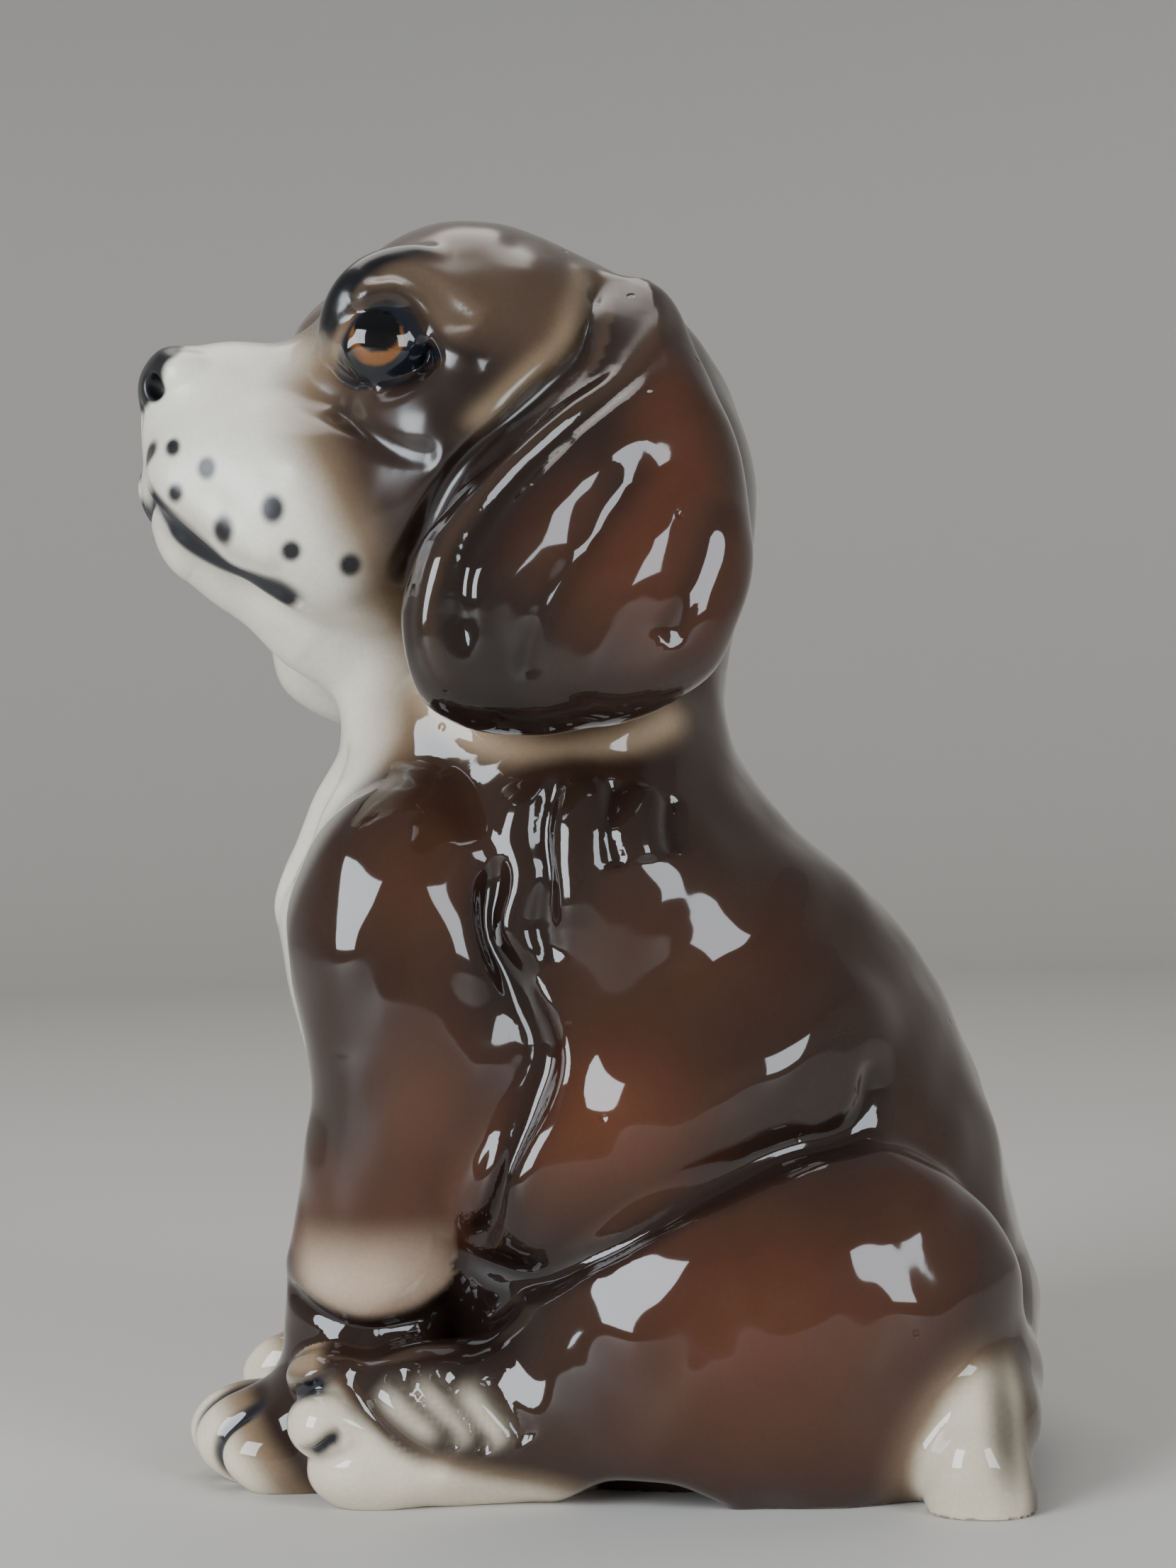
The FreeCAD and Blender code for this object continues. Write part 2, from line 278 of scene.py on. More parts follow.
# ------------------------ sculpt: head
def to_head(p):
    """Puts points into the head's own frame, which is turned a little to the puppy's left."""
    c, s = math.cos(HEAD_TURN), math.sin(HEAD_TURN)
    x, y = p[:, 0], p[:, 1] - HEAD_PIVOT_Y
    return np.column_stack([c * x + s * y, -s * x + c * y + HEAD_PIVOT_Y, p[:, 2]]).astype(np.float32)


def folded(p, ease=1.2):
    """Mirrors the head's points to its left side, rounding over the middle."""
    side = np.sqrt(p[:, 0] ** 2 + ease**2) - ease * 0.5
    return np.column_stack([side, p[:, 1], p[:, 2]]).astype(np.float32)


def skull_field(h):
    m = folded(h)
    d = ellipsoid(h, (0, -20, 177.5), (34, 28, 31.5))
    d = join(d, ellipsoid(h, (0, -3, 160), (36, 32.5, 41)), 10)
    cheek = ellipsoid(m, (24, -24, 163), (13.5, 19, 20))
    d = join(d, cheek, 8)
    brow = ellipsoid(m, (16.5, -35, 189.5), (11.5, 12, 10.5))
    d = join(d, brow, 4.5)
    bridge = limb(h, (0, -65.5, 178.5), (0, -45, 177.5), 8.8, 11)
    muzzle = ellipsoid(h, (0, -56, 167), (19, 19, 18))
    muzzle = join(muzzle, bridge, 7)
    flews = ellipsoid(m, (8.5, -59.5, 163.5), (12, 15.5, 14), turn_x(-8))
    muzzle = join(muzzle, flews, 3)
    jowl = ellipsoid(m, (17, -46, 157), (13, 19, 16), turn_x(-25))
    muzzle = join(muzzle, jowl, 7)
    chin = limb(h, (0, -64, 156.5), (0, -45, 147), 9, 13)
    muzzle = join(muzzle, chin, 3)
    d = join(d, muzzle, 8)
    throat = limb(h, (0, -38, 146), (0, -10, 118), 12, 25)
    return join(d, throat, 12)


NOSTRIL, NOSTRIL_TILT = (5.0, -72.8, 180.2), turn_x(-20)


def face_field(h):
    """The skull with its eyes, lids and nose."""
    d = skull_field(h)
    m = folded(h, 0.5)
    socket = ellipsoid(m, (29.5, -38.5, 184.5), (6.0, 8.8, 8.0))
    d = carve(d, socket, 3.5)
    ball = ellipsoid(m, (20.5, -37.2, 184.4), (9.0, 8.4, 7.6))
    d = join(d, ball, 1.0)
    nose = ellipsoid(h, (0, -70, 181.5), (8.5, 5.5, 6.2), turn_x(-25))
    d = join(d, nose, 1.5)
    wing = ellipsoid(m, (6.2, -67.8, 181.5), (3.4, 4.6, 4.0))
    d = join(d, wing, 1.2)
    nostril = ellipsoid(m, NOSTRIL, (1.7, 2.6, 1.6), NOSTRIL_TILT)
    return carve(d, nostril, 1.2)


EAR_OUTLINE = smooth_line([(7, 196), (2, 191), (-3, 180.5), (-13, 172.5), (-23, 164), (-31.5, 156),
                           (-35.8, 150), (-38.3, 142.7), (-38.2, 134.2), (-35.8, 127.2),
                           (-30.4, 123), (-22, 120.8), (-10.5, 121.4), (2.3, 124.2), (9, 128),
                           (13, 133), (16.5, 141), (18.6, 150), (18.8, 160), (16.5, 172),
                           (12.5, 185)], 4, closed=True)
RIGHT_EAR_FORWARD, RIGHT_EAR_RISE = 11, 3.5
EAR_SIDE = [(118, 37), (126, 41), (135, 43), (145, 43.5), (155, 41.5), (165, 38.5), (175, 35),
            (185, 30), (196, 22)]


def ear_field(m):
    """A hanging ear: a flat drop with a rounded edge, in the folded head frame."""
    y, z = m[:, 1], m[:, 2]
    inward = -outline_distance(y, z, EAR_OUTLINE)
    middle = profile(z, EAR_SIDE) - 0.004 * (y + 12) ** 2
    edge = 9.0
    rim = np.maximum(edge - inward, 0) / edge
    thick = 8.0 - 3.5 * ramp(z, 170, 190)
    across = np.abs(m[:, 0] - middle) / thick
    return (np.sqrt(rim**2 + across**2) - 1) * thick


# ------------------------ sculpt: lines pressed into the surface
class Line:
    """A crease or ridge. Its points are given in the side view (y, z) or the front view (x, z)."""

    def __init__(self, points, width, depth, view="side", ends=0.15):
        self.points, self.width, self.depth, self.ends = points, width, depth, ends
        self.axis = 0 if view == "side" else 1  # the axis that the view looks along
        self.path = None


def settle(lines, field, start):
    """Puts each line's points where the view's ray first meets the surface, or comes nearest to it."""
    depths = np.arange(start, 0, -0.5, dtype=np.float32)
    for line in lines:
        axis, toward = line.axis, 1 - 2 * line.axis
        spots = np.insert(np.array(line.points, dtype=np.float32), axis, 0, axis=1)
        probe = np.repeat(spots[None], len(depths), axis=0)
        probe[:, :, axis] = toward * depths[:, None]
        gaps = field(probe.reshape(-1, 3)).reshape(len(depths), -1)
        met = gaps < 0
        pick = np.where(met.any(0), met.argmax(0), np.abs(gaps).argmin(0))
        depth = toward * depths[pick]
        for _ in range(2):
            depth[1:-1] = (depth[:-2] + 2 * depth[1:-1] + depth[2:]) / 4
        spots[:, axis] = depth
        line.path = smooth_line(spots, 4)


# Creases (positive) and ridges (negative) of the head, in its own frame; both sides get them.
HEAD_LINES = [
    Line([(-42.5, 190.2), (-40.3, 192), (-36.7, 192.4), (-34, 190.6), (-31.8, 187), (-29.5, 183.6),
          (-26.5, 181.2), (-23, 180)], 1.7, -2.3),
    Line([(-44.2, 186.5), (-43.6, 182.3), (-41.7, 179.4), (-38.1, 177.6), (-33.9, 178.4),
          (-31, 180.6)], 1.2, -0.7),
    Line([(-46.6, 183), (-46, 187.5), (-44.6, 192), (-42, 196.5), (-38.5, 199.3), (-33, 200.8),
          (-26, 200)], 3.0, -1.4),
    Line([(-41, 194.8), (-36.5, 196.6), (-31.5, 194), (-28, 189.5), (-24, 186)], 2.2, 1.0),
    Line([(-46, 176), (-42, 170.5), (-37, 166.5), (-31, 165)], 2.4, 1.1),
    Line([(-75.2, 164.4), (-73.3, 159.4), (-70.4, 155.4), (-66.1, 151.8), (-62, 148.7), (-58.2, 146.9),
          (-55, 145.1), (-51.7, 142.4)], 1.5, 2.6, ends=0.05),
    Line([(-74.5, 168), (-71.6, 163), (-66.3, 157), (-60.2, 152.6), (-55, 149.6)], 2.6, -1.2),
]
SPOTS = [((-74.3, 168.4), (1.6, 2.4)), ((-71.3, 168.9), (1.2, 1.7)), ((-66.4, 165), (1.5, 1.9)),
         ((-71.1, 161.4), (1.3, 1.6)), ((-57, 157.8), (1.9, 2.4)), ((-63.9, 155), (1.9, 2.5)),
         ((-54.1, 151.1), (1.6, 1.7)), ((-44.9, 148.8), (1.8, 1.9))]
UPPER_LID, LOWER_LID, BROW, LID_FOLD, CHEEK_FOLD, MOUTH = HEAD_LINES[:6]
MUZZLE_LINES = [
    Line([(0, 177), (0, 172), (0, 167), (0, 162.5)], 1.3, 1.6, view="front", ends=0.02),
    Line([(0, 162.5), (4, 161), (8, 158.6), (12, 155.8)], 1.5, 1.8, view="front", ends=0.02),
]
CROWN_LINES = [
    Line([(-1, 197), (-4.5, 189), (-7.4, 182), (-15, 175.2), (-26.7, 165.2), (-31.9, 158),
          (-34.6, 151), (-36.5, 145)], 2.0, 1.7, ends=0.1),
    Line([(-3, 199), (-7.5, 190), (-11, 183.5), (-18, 177.5), (-28, 168.5)], 2.2, -0.9),
]
CROWN_CREASE, CROWN_RIDGE = CROWN_LINES
EAR_LINES = [
    Line([(8, 192), (5.4, 186), (-2, 177.6), (-12.4, 170.4), (-22.7, 162), (-31, 152.5), (-35, 144),
          (-35.4, 135), (-32.5, 128)], 1.8, -1.3),
    Line([(5, 184), (-4, 174.5), (-14, 167), (-23, 158), (-29, 149), (-31, 140), (-30, 132)],
         2.1, 1.3),
    Line([(-7, 165), (-17, 154), (-25, 143), (-27.5, 130)], 3.0, -0.9),
    Line([(1, 166), (-9, 152), (-18, 139), (-21.5, 126)], 3.2, 1.3),
    Line([(7, 162), (-2, 147), (-10, 134), (-13, 126)], 3.4, -0.8),
    Line([(13, 158), (7, 145), (1, 134)], 3.0, 0.8),
]
EAR_RIM = EAR_LINES[0]
# Creases and ridges of the body's left side; the right side mirrors them.
BODY_LINES = [
    Line([(-28.4, 138.8), (-26.1, 128.7), (-21.2, 122.9), (-13.7, 119.6), (-1.1, 119.3), (9, 121),
          (17, 125)], 2.0, -1.6),
    Line([(-13.9, 102), (-16.6, 91), (-13, 83), (-8.3, 72.4), (-9.8, 63.6), (-13.1, 53.7),
          (-16.5, 44.8), (-20.5, 39.5)], 2.0, 2.2, ends=0.08),
    Line([(-9, 84), (-4, 74), (-5, 64), (-9, 54), (-12.5, 46)], 2.2, -0.7),
    Line([(-22, 38.4), (-15, 35.8), (-7.9, 35.4), (4.5, 40.9), (16.8, 47.9), (29.2, 53.8), (36.5, 55),
          (41.4, 57.5), (44.4, 62), (44, 68)], 2.3, 2.0, ends=0.1),
]
EAR_BAND, ARMPIT, _, HAUNCH_CREASE = BODY_LINES
TUFT_LINES = [
    Line([(-10, 114), (-12, 106), (-11.5, 98), (-12, 90), (-8.5, 83)], 2.6, -1.3),
    Line([(-5, 115), (-7, 106), (-6.5, 98), (-7.5, 90), (-6, 84)], 2.0, 1.3),
    Line([(0, 115), (-2.5, 106), (-1.5, 98), (-3.5, 90)], 2.4, -1.2),
    Line([(5, 114), (3, 106), (4.5, 99)], 2.0, 1.2),
    Line([(9, 113), (8, 106), (9.5, 100)], 2.4, -1.1),
    Line([(13, 111), (12.5, 106), (14, 101)], 1.8, 0.9),
]
CHEST_LINES = [
    Line([(14, 122), (12, 113), (13, 104), (10, 95)], 1.8, 0.9, view="front"),
    Line([(9, 120), (8, 110), (9, 100), (6, 90)], 2.0, -0.9, view="front"),
    Line([(4, 118), (4.5, 108), (4, 98), (3, 86), (4, 78)], 1.8, 0.9, view="front"),
    Line([(0, 114), (0, 104), (0, 94), (0, 82)], 2.2, -0.8, view="front"),
    Line([(18, 116), (17, 106), (17, 97)], 2.0, -0.7, view="front"),
]
PAW_LINES = [
    Line([(-50.5, 33), (-47.8, 31), (-43.3, 28.6), (-35.6, 27.1), (-28.1, 28), (-24, 31.2)],
         1.8, 1.2),
    Line([(-50.5, 38), (-46, 34.5), (-38, 32.4), (-30, 32.8)], 2.2, -0.6),
]
WRIST_CREASE = PAW_LINES[0]
FOOT_LINES = [
    Line([(-42.5, 22.5), (-40.5, 20), (-36.7, 15.9), (-30.2, 10.2), (-23.7, 7)], 2.1, 1.6),
    Line([(-35.7, 20), (-29.6, 15.5), (-24, 11.7)], 2.2, -1.1),
    Line([(-33, 22), (-29, 17.6), (-25.2, 14), (-21.4, 10.1)], 1.7, 1.3),
    Line([(-29.9, 21.3), (-24.3, 15.9), (-19.1, 10.5)], 2.1, -1.1),
    Line([(-26.6, 22), (-21.2, 15.3), (-17, 9.5)], 1.8, 1.3),
    Line([(-22.9, 20.7), (-18.6, 15.3), (-14.3, 9.9)], 2.1, -1.0),
    Line([(-18, 21), (-15.1, 16.1), (-11.6, 10.7)], 2.2, 0.9),
    Line([(-51, 15.8), (-49.4, 17), (-47, 18.4), (-44.2, 19.6), (-41, 20.4)], 1.4, 1.3),
    Line([(-46.8, 9.2), (-44.5, 10.3), (-42.3, 12), (-40, 12.8)], 1.3, 1.1),
]
FOOT_VALLEYS, FOOT_RIDGES, TOE_CREASES = FOOT_LINES[0:7:2], FOOT_LINES[1:6:2], FOOT_LINES[7:]


def side_of(p, side):
    """The body's points folded to the left side, for the left or the right half."""
    return (p * vec(side, 1, 1)).astype(np.float32)


settle(HEAD_LINES + CROWN_LINES, face_field, 60)
settle(MUZZLE_LINES, face_field, 110)
SPOT_MARKS = [Line([(y, z), (y, z)], 1, 0) for (y, z), _ in SPOTS]
settle(SPOT_MARKS, face_field, 60)
settle(EAR_LINES, ear_field, 70)


def body_left_field(p):
    d = join(torso_field(p), foreleg_field(p, 1), 4)
    return join(d, hind_leg_field(p, 1), 3)


settle(BODY_LINES + TUFT_LINES, body_left_field, 90)
settle(CHEST_LINES, torso_field, 90)
settle(PAW_LINES, lambda p: foreleg_field(p, 1), 70)
settle(FOOT_LINES, lambda p: hind_leg_field(p, 1), 90)


def press(d, p, lines):
    for line in lines:
        d = furrow(d, p, line.path, line.width, line.depth, line.ends)
    return d


# ------------------------ sculpt: the whole figurine
# The pieces, each with the box that its own shape stays inside.
GROUP_BOX = {
    "body_shell": ((-80, -75, -12), (80, 95, 162)),
    "head_shell": ((-60, -100, 95), (60, 50, 230)),
    "ear_left": ((15, -65, 105), (75, 40, 215)),
    "ear_right": ((-75, -65, 105), (-15, 40, 215)),
    "foreleg_left": ((0, -90, -12), (70, 5, 130)),
    "foreleg_right": ((-70, -80, -12), (0, 20, 130)),
    "hind_leg_left": ((0, -78, -12), (85, 88, 80)),
    "hind_leg_right": ((-85, -78, -12), (0, 88, 80)),
    "tail": ((-25, 25, -12), (85, 100, 48)),
}
GROUPS = list(GROUP_BOX)
WAVES_PER_MM = 0.27
WAVE_HEIGHT, BAND_HEIGHT = 0.2, 0.16  # of the hand-made unevenness


def group_field(name, p):
    if name == "body_shell":
        d = torso_field(p)
        q = folded(p, 0.8)
        return press(d, q, CHEST_LINES)
    if name == "head_shell":
        h = to_head(p)
        d = face_field(h)
        m = folded(h, 0.5)
        return press(d, m, HEAD_LINES + MUZZLE_LINES + CROWN_LINES)
    if name.startswith("ear"):
        m = to_head(p) * vec(1 if name == "ear_left" else -1, 1, 1)
        shifted = m.copy()
        if name == "ear_right":
            shifted[:, 1] += RIGHT_EAR_FORWARD * ramp(m[:, 2], 185, 150)
            shifted[:, 2] -= RIGHT_EAR_RISE * ramp(m[:, 2], 175, 135)
        return press(ear_field(shifted), shifted, EAR_LINES)
    side = 1 if name.endswith("left") else -1
    if name.startswith("foreleg"):
        return press(foreleg_field(p, side), leg_space(p, side), PAW_LINES)
    if name.startswith("hind"):
        return press(hind_leg_field(p, side), side_of(p, side), FOOT_LINES)
    return tail_field(p)


def groups_at(p):
    """Distance to each group, far where the group's own box doesn't reach."""
    out = {}
    for name in GROUPS:
        low, high = GROUP_BOX[name]
        near = np.all((p > vec(*low)) & (p < vec(*high)), axis=1)
        d = np.full(len(p), FAR, dtype=np.float32)
        if near.any():
            d[near] = group_field(name, p[near])
        out[name] = d
    return out


def whole(p, groups=None):
    """The figurine's signed distance, with the lines that cross from piece to piece."""
    g = groups or groups_at(p)
    crown = 1.6 + 5 * ramp(p[:, 2], 168, 190)
    softness = {"head_shell": 9, "foreleg_left": 3.5, "foreleg_right": 3.5, "hind_leg_left": 2.5,
                "hind_leg_right": 2.5, "tail": 6, "ear_left": crown, "ear_right": crown}
    d = g["body_shell"]
    for name, soft in softness.items():
        d = join(d, g[name], soft)
    d = d.astype(np.float32)
    for side in (1, -1):
        half = (p[:, 0] * side > -3) & (p[:, 2] < 150)
        if half.any():
            q = side_of(p[half], side)
            d[half] = press(d[half], q, BODY_LINES + TUFT_LINES)
    x, y, z = p.T * WAVES_PER_MM
    d += (WAVE_HEIGHT * np.sin(x + 1.3 * np.sin(z)) * np.sin(1.1 * y + 0.6)
          + BAND_HEIGHT * np.sin(1.2 * z + 1.7 * np.sin(y)))
    base = -p[:, 2]
    vent = np.maximum(np.hypot(p[:, 0], p[:, 1] - VENT_CENTRE_Y) - VENT_RADIUS, p[:, 2] - VENT_DEPTH)
    return carve(np.maximum(d, base), vent, 0.8)


# ------------------------ meshing
def lattice(origin, step, index):
    return (origin + step * index).astype(np.float32)


def sample(step):
    """Field values on a lattice, worked out in full only near the surface."""
    low, high = vec(-72, -84, -6), vec(72, 86, 216)
    wide = step * COARSE
    cells = np.ceil((high - low) / wide).astype(int)
    corner = np.stack(np.meshgrid(*[np.arange(n + 1) for n in cells], indexing="ij"), -1)
    rough = whole(lattice(low, wide, corner.reshape(-1, 3))).reshape(corner.shape[:3])
    centre = sum(rough[i:i + cells[0], j:j + cells[1], k:k + cells[2]]
                 for i in (0, 1) for j in (0, 1) for k in (0, 1)) / 8
    fine = cells * COARSE + 1
    values = np.empty(fine, dtype=np.float32)
    filled = np.repeat(np.repeat(np.repeat(centre, COARSE, 0), COARSE, 1), COARSE, 2)
    values[:-1, :-1, :-1] = filled
    values[-1], values[:, -1], values[:, :, -1] = FAR, FAR, FAR
    near = np.abs(values) < wide * 1.25
    index = np.argwhere(near)
    values[tuple(index.T)] = by_parts(lambda part: whole(lattice(low, step, part)), index, 400000)
    return values, low


EDGES = [(0, 1), (2, 3), (4, 5), (6, 7), (0, 2), (1, 3), (4, 6), (5, 7), (0, 4), (1, 5), (2, 6), (3, 7)]
CORNERS = np.array([(i, j, k) for i in (0, 1) for j in (0, 1) for k in (0, 1)])


def surface_net(values, low, step):
    """Quads of the zero surface, one vertex in each cell that the surface crosses."""
    inside = values < 0
    shape = np.array(values.shape) - 1
    count = np.zeros(shape, dtype=np.uint8)
    for i, j, k in CORNERS:
        count += inside[i:i + shape[0], j:j + shape[1], k:k + shape[2]]
    active = (count > 0) & (count < 8)
    cells = np.argwhere(active)
    number = np.full(shape, -1, dtype=np.int32)
    number[active] = np.arange(len(cells))
    corner = [values[tuple((cells + c).T)] for c in CORNERS]
    total = np.zeros((len(cells), 3), dtype=np.float32)
    hits = np.zeros(len(cells), dtype=np.float32)
    for a, b in EDGES:
        crossed = (corner[a] < 0) != (corner[b] < 0)
        va, vb = corner[a][crossed], corner[b][crossed]
        at = va / (va - vb)
        total[crossed] += CORNERS[a] + at[:, None] * (CORNERS[b] - CORNERS[a])
        hits[crossed] += 1
    points = low + step * (cells + total / hits[:, None])
    faces = []
    for axis in range(3):
        first = [slice(None)] * 3
        second = [slice(None)] * 3
        first[axis], second[axis] = slice(None, -1), slice(1, None)
        flips = np.argwhere(inside[tuple(first)] != inside[tuple(second)])
        u, v = (axis + 1) % 3, (axis + 2) % 3
        flips = flips[(flips[:, u] > 0) & (flips[:, v] > 0)
                      & (flips[:, u] < shape[u]) & (flips[:, v] < shape[v])]
        quad = []
        for du, dv in ((-1, -1), (0, -1), (0, 0), (-1, 0)):
            cell = flips.copy()
            cell[:, u] += du
            cell[:, v] += dv
            quad.append(number[tuple(cell.T)])
        quad = np.column_stack(quad)
        outward = inside[tuple(flips.T)]
        quad[~outward] = quad[~outward][:, ::-1]
        faces.append(quad)
    return points.astype(np.float32), np.vstack(faces)


def slope_of(p, reach=0.12):
    """The field's gradient, from four samples around each point."""
    grad = np.zeros_like(p)
    for sign in ((1, -1, -1), (-1, -1, 1), (-1, 1, -1), (1, 1, 1)):
        grad += vec(*sign) * whole(p + reach * vec(*sign))[:, None]
    return grad / (4 * reach)


def by_parts(function, p, size=300000):
    """Calls a function on so many points at a time, to spare memory."""
    return np.concatenate([function(p[at:at + size]) for at in range(0, len(p), size)])


def settle_on_surface(points, rounds=2):
    """Moves points along the field's slope until they lie on the surface."""
    for _ in range(rounds):
        grad = by_parts(slope_of, points)
        steep = np.maximum((grad**2).sum(1), 0.05)
        move = by_parts(whole, points) / steep
        points = points - np.clip(move, -GRID_STEP, GRID_STEP)[:, None] * grad
    return points


def outward(points):
    grad = by_parts(slope_of, points)
    return grad / np.maximum(np.linalg.norm(grad, axis=1), 1e-6)[:, None]


def sculpt():
    """Vertices on the surface, and quads."""
    values, low = sample(GRID_STEP)
    points, quads = surface_net(values, low, GRID_STEP)
    return settle_on_surface(points), quads


# ------------------------ splitting into the luted pieces
def neighbours(quads):
    """Pairs of quads that share an edge."""
    edges = np.sort(np.stack([quads, np.roll(quads, -1, axis=1)], -1).reshape(-1, 2), axis=1)
    owner = np.repeat(np.arange(len(quads)), 4)
    key = edges[:, 0].astype(np.int64) * (quads.max() + 1) + edges[:, 1]
    order = np.argsort(key, kind="stable")
    same = key[order][1:] == key[order][:-1]
    return owner[order][:-1][same], owner[order][1:][same]


def majority(labels, pairs, rounds=4):
    """Evens out ragged seams: a quad takes the label that most of its neighbours have."""
    left, right = pairs
    for _ in range(rounds):
        votes = np.zeros((len(labels), len(GROUPS)), dtype=np.int16)
        np.add.at(votes, (left, labels[right]), 1)
        np.add.at(votes, (right, labels[left]), 1)
        votes[np.arange(len(labels)), labels] += 1
        labels = votes.argmax(1)
    return labels


def drop_islands(labels, pairs):
    """Gives each small patch that is cut off from its piece to the piece around it."""
    links = [[] for _ in labels]
    for a, b in zip(*(side.tolist() for side in pairs)):
        links[a].append(b)
        links[b].append(a)
    seen = np.zeros(len(labels), dtype=bool)
    patches = []
    for seed in range(len(labels)):
        if seen[seed]:
            continue
        seen[seed] = True
        patch, queue, around = [seed], [seed], []
        while queue:
            at = queue.pop()
            for other in links[at]:
                if labels[other] != labels[at]:
                    around.append(labels[other])
                elif not seen[other]:
                    seen[other] = True
                    patch.append(other)
                    queue.append(other)
        patches.append((patch, around))
    largest = {}
    for patch, _ in patches:
        name = labels[patch[0]]
        largest[name] = max(largest.get(name, 0), len(patch))
    result = labels.copy()
    for patch, around in patches:
        if len(patch) < largest[labels[patch[0]]] and around:
            result[patch] = np.bincount(around).argmax()
    return result


def split(points, quads):
    middle = points[quads].mean(1)
    groups = by_parts(lambda p: np.column_stack(list(groups_at(p).values())), middle)
    labels = groups.argmin(1)
    pairs = neighbours(quads)
    labels = majority(labels, pairs)
    return drop_islands(labels, pairs)


# ------------------------ paint
def srgb(red, green, blue):
    """Linear colour from screen values of 0 to 255."""
    c = np.array([red, green, blue]) / 255
    return np.where(c < 0.04045, c / 12.92, ((c + 0.055) / 1.055) ** 2.4).astype(np.float32)


UMBER = srgb(52, 36, 28)
HEAD_BROWN = srgb(82, 64, 50)
CHESTNUT = srgb(88, 50, 33)
TAN = srgb(158, 134, 106)
CREAM = srgb(228, 222, 206)
BAND = srgb(176, 152, 124)
TOE_CREAM = srgb(222, 210, 186)
WRIST = srgb(190, 164, 142)
BLACK = srgb(14, 14, 18)
BLUE_BLACK = srgb(22, 25, 34)
# dark brown: painted shade in creases and in the hollow between the legs, and also dark marks
DARK_PAINT_AND_SHADE = srgb(28, 20, 18)
IRIS = srgb(124, 78, 38)
PUPIL = srgb(6, 6, 8)


def lay(colour, paint, amount):
    """Sprays a colour over what is there, in place."""
    amount = np.clip(amount, 0, 1) * np.ones(len(colour), dtype=np.float32)
    colour[:] = colour * (1 - amount[:, None]) + paint * amount[:, None]
    return colour


def spot(p, centre, size, soft):
    """A soft round patch seen from the side (y, z); size is its half width and half height."""
    q = np.sqrt(((p[:, 1] - centre[0]) / size[0]) ** 2 + ((p[:, 2] - centre[1]) / size[1]) ** 2)
    return ramp(q, 1 + soft, 1 - soft)


DEPTH_SHARE = (0.4, 0.3)   # how much of a distance along the view counts: side view, front view


def along_line(p, line, width, ends=0.1):
    """Soft band along a settled line, measured mostly in the view that the line is drawn in."""
    axis = line.axis
    flat = vec(1, 1, 1)
    flat[axis] = DEPTH_SHARE[axis]
    near, gap, place = line_distance(p * flat, line.path * flat, 3 * width)
    level = np.interp(place * (len(line.path) - 1), np.arange(len(line.path)), line.path[:, axis])
    close = ramp(np.abs(p[near, axis] - level), 5, 3.2)
    out = np.zeros(len(p), dtype=np.float32)
    out[near] = close * np.exp(-(gap / width) ** 2) * ramp(place, -0.02, ends) * ramp(place, 1.02, 1 - ends)
    return out


# Where one colour gives way to another: (z, y) on the head, ears and chest, (y, z) on the paws.
NECK_BASE = 112.0
CREAM_EDGE = [(60, -58), (98, -52.5), (104, -49.5), (111, -45), (121, -39.5), (128, -38), (136, -38),
              (141, -41), (151, -46.5), (161, -51), (170, -54), (178, -53.5), (186, -50.5), (194, -55)]
EAR_SHADE_EDGE = [(118, -14), (130, -18), (145, -24), (160, -16), (175, -4), (196, 4)]
CHEST_EDGE = [(0, -60), (60, -54), (98, -49), (104, -45.6), (111, -40.5), (116, -36.5), (123, -33),
              (135, -34)]
WRIST_EDGE = [(-52, 33), (-46, 30.5), (-40, 28), (-33, 27.6), (-27, 29.5), (-22, 35)]
SOLE_EDGE = [(-52, 19), (-41, 18), (-37, 14.5), (-30, 9), (-23.5, 6.4), (-10, 3), (4, 0)]
EYE_OUTLINE = smooth_line([(-44.9, 181.2), (-44.4, 185.5), (-42.4, 188.8), (-39.6, 190.7), (-36.9, 191.1),
                           (-34.2, 189.7), (-32.7, 186.7), (-31.3, 184), (-29.8, 181.8), (-33.1, 180.4),
                           (-36.5, 178.8), (-39.9, 177.6), (-42.7, 178)], 3, closed=True)
NEAR_EYE = 12.0               # the eye's outline counts only this far from the head's middle
HEAD_SATIN, CROWN_SATIN = 0.55, 0.7
NOSE_TIP, NOSE_SLANT = (-73.2, 179), 0.62
IRIS_CENTRE, IRIS_RADIUS = (-39.8, 185.1), 4.4
PUPIL_CENTRE, PUPIL_RADIUS = (-39.5, 186.3), 3.6
CHESTNUT_HEAD = [((5, 165), (7, 14), 0.75), ((2, 145), (12, 12), 0.8), ((-14, 152), (12, 9), 0.35)]
CHESTNUT_BODY = [((-27, 97), (8, 10), 0.4), ((-26, 56), (8, 18), 0.75), ((1, 60), (14, 13), 0.9),
                 ((26, 29), (20, 14), 0.9), ((30, 12), (24, 8), 0.5), ((50, 40), (9, 15), 0.25),
                 ((16, 86), (16, 11), 0.3)]


